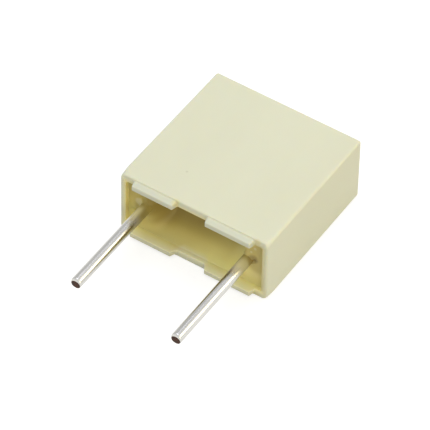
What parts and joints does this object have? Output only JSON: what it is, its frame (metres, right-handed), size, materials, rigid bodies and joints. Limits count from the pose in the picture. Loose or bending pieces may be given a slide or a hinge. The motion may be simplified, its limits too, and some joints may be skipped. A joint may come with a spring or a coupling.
{
  "type": "box film capacitor",
  "caption": "Small box film capacitor: a moulded case with standoff tabs, filled with cast resin round a wound film element, and two straight radial leads.",
  "frame": {"origin": "midway between the centre lines of the two leads, in the plane of the board that the standoff tabs rest on; z = 0 is the middle of the thickness", "axes": "+X from the left lead to the right lead, +Y from the board towards the closed end of the case, +Z out of a broad face, so that the part lies on its other broad face"},
  "size_m": [0.0072, 0.0121, 0.0032],
  "materials": {
    "case_plastic": "moulded thermoplastic polyester, pale cream, fine satin surface",
    "resin": "cast epoxy, yellowish cream, smooth and slightly glossy with a drawn-up edge",
    "metallised_film": "wound metallised film, satin grey",
    "sprayed_metal": "sprayed zinc, grainy and dull",
    "tinned_wire": "bright tinned copper wire, drawn lines along its length"
  },
  "bodies": {
    "root": {"case": "case_plastic", "potting_resin": "resin", "film_winding": "metallised_film", "end_spray_left": "sprayed_metal", "end_spray_right": "sprayed_metal", "lead_left": "tinned_wire", "lead_right": "tinned_wire"}
  },
  "joints": []
}
